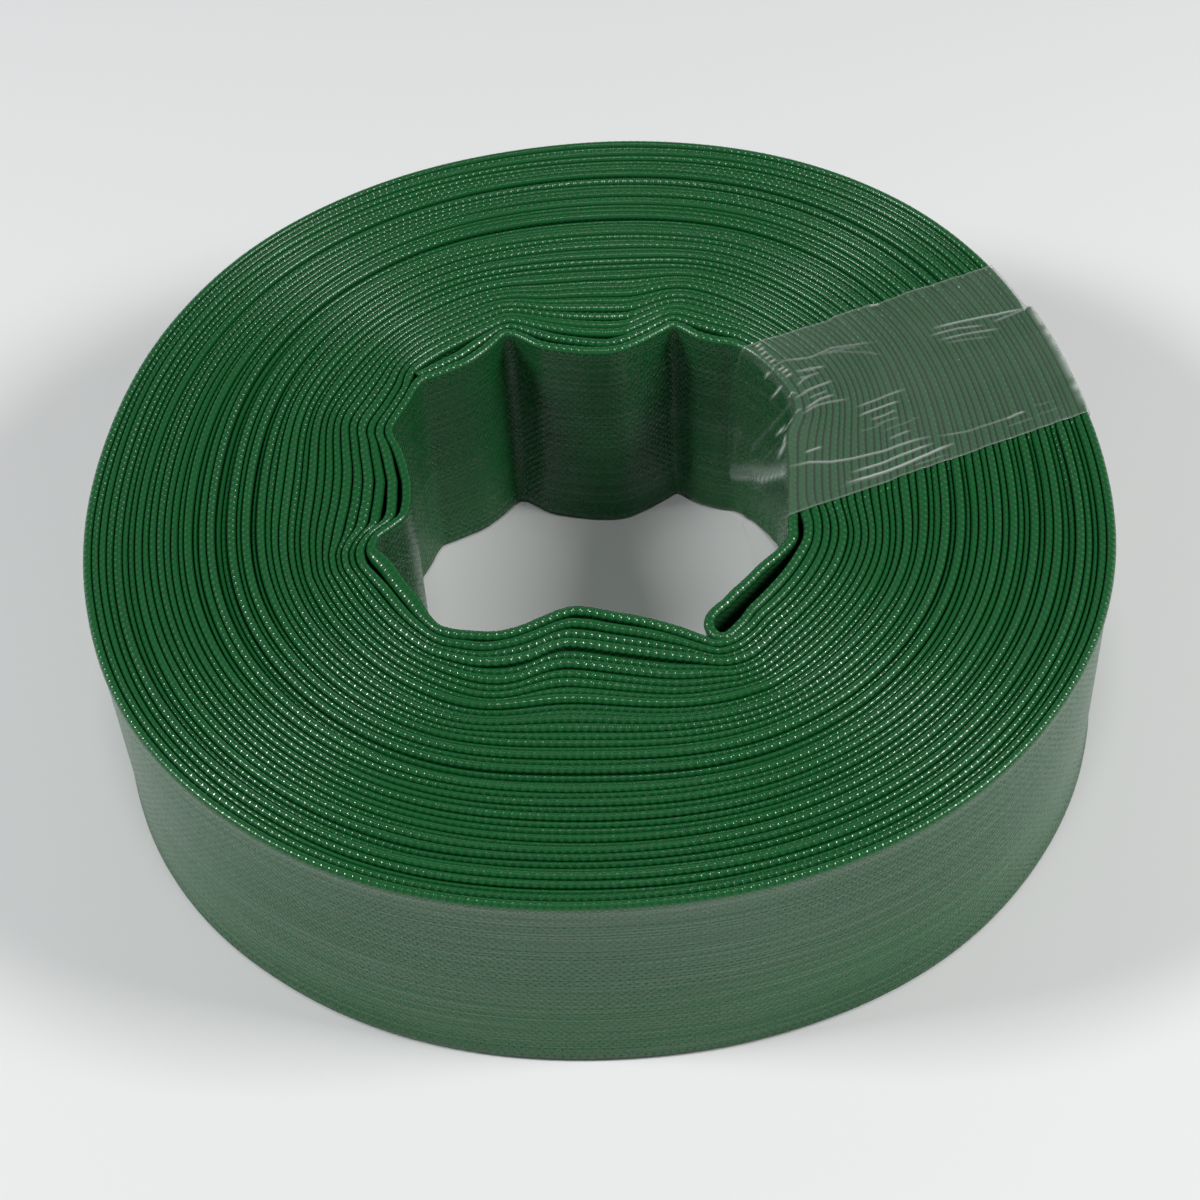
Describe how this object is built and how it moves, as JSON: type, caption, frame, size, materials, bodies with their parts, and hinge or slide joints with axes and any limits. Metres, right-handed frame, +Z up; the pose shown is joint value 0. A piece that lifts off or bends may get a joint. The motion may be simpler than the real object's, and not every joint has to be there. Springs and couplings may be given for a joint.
{
  "type": "lay-flat irrigation hose roll",
  "caption": "Green vinyl lay-flat irrigation hose wound flat into a roll with a creased eye, held closed by a strip of clear tape.",
  "frame": {"origin": "centre of the roll's box at the height of the face it lies on", "axes": "+Z up along the axis of the eye; the tape crosses the ring towards +X, 20 degrees round towards +Y"},
  "size_m": [0.3174, 0.3164, 0.084],
  "materials": {
    "hose_vinyl": "semi-gloss soft vinyl over woven yarn, with the yarn showing as small beads along the folded edges",
    "tape_film": "clear glossy packing tape, wrinkled, with a slight milky haze"
  },
  "bodies": {
    "root": {"hose_coil": "hose_vinyl", "hose_inner_turn": "hose_vinyl", "hose_folded_start": "hose_vinyl", "hose_outer_turn": "hose_vinyl", "tape_band": "tape_film"}
  },
  "joints": []
}
